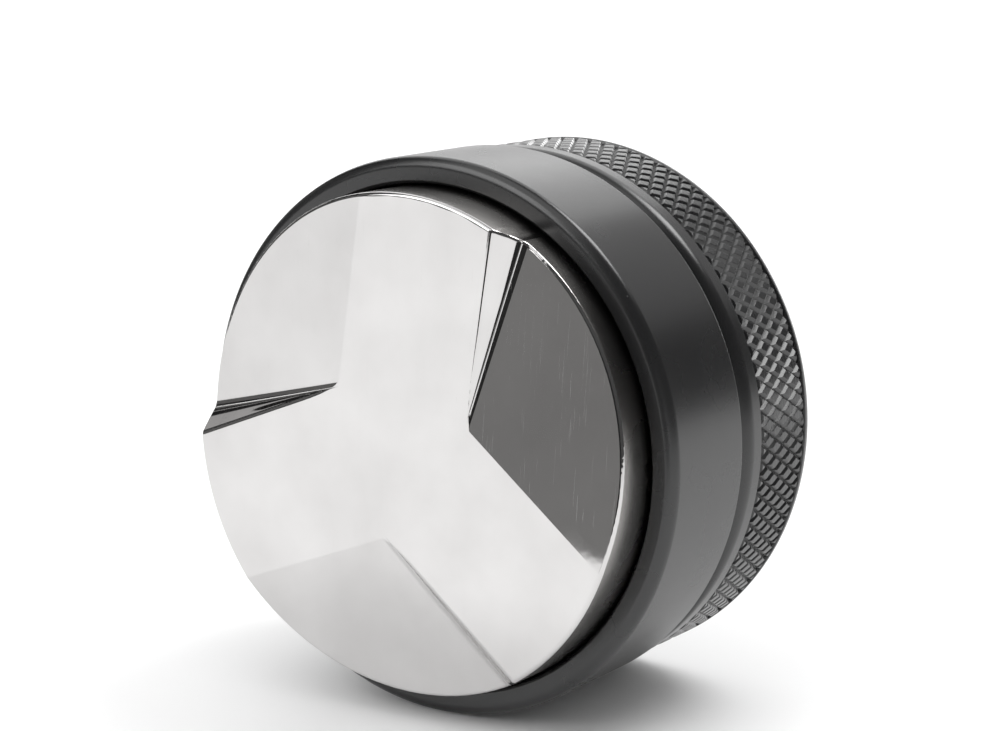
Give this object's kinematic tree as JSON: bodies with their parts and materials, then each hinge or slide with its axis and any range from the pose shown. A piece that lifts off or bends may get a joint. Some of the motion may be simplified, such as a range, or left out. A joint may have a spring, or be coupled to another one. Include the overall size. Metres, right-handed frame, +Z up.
{
  "type": "espresso tamper",
  "caption": "Round coffee levelling tamper: polished disc with raised arms and sloped facets, smooth black depth sleeve, knurled black screw cap.",
  "frame": {"origin": "the middle of the disc's face, on the tool's axis", "axes": "the tool lies on its side: +Y along the axis from the disc towards the palm, -Y the way the disc faces, +Z up, +X to the right seen from in front of the disc"},
  "size_m": [0.0646, 0.0388, 0.0646],
  "materials": {
    "polished_steel": "mirror polished",
    "black_anodised": "satin black anodised",
    "bare_aluminium": "turned",
    "steel_fastener": "zinc plated",
    "spring_steel": "oiled",
    "black_rubber": "matt",
    "black_nylon": "matt"
  },
  "bodies": {
    "core": {"distribution_disc": "polished_steel", "threaded_core": "bare_aluminium", "disc_screws": "steel_fastener", "spring_washers": "spring_steel", "sleeve_friction_ring": "black_rubber", "stop_ring": "spring_steel"},
    "washer": {"keyed_washer": "black_nylon"},
    "sleeve": {"depth_sleeve": "black_anodised"},
    "cap_ring": {"cap_friction_ring": "black_rubber"},
    "cap": {"grip_ring": "black_anodised", "palm_plate": "black_anodised"}
  },
  "joints": [
    {"name": "depth_travel", "type": "slide", "parent": "core", "child": "washer", "axis": [0, 1, 0], "range_m": [-0.00225, 0.00225]},
    {"name": "sleeve_turn", "type": "hinge", "parent": "washer", "child": "sleeve", "pos_m": [0, 0, 0], "axis": [0, 1, 0], "range_deg": [-540, 540]},
    {"name": "lock_travel", "type": "slide", "parent": "washer", "child": "cap_ring", "axis": [0, 1, 0], "range_m": [0, 0.00075]},
    {"name": "cap_turn", "type": "hinge", "parent": "cap_ring", "child": "cap", "pos_m": [0, 0, 0], "axis": [0, 1, 0], "range_deg": [0, 180]}
  ],
  "couplings": [
    {"joint": "depth_travel", "follows": "sleeve_turn", "m_per_rad": 0.00023873},
    {"joint": "lock_travel", "follows": "cap_turn", "m_per_rad": 0.00023873}
  ]
}
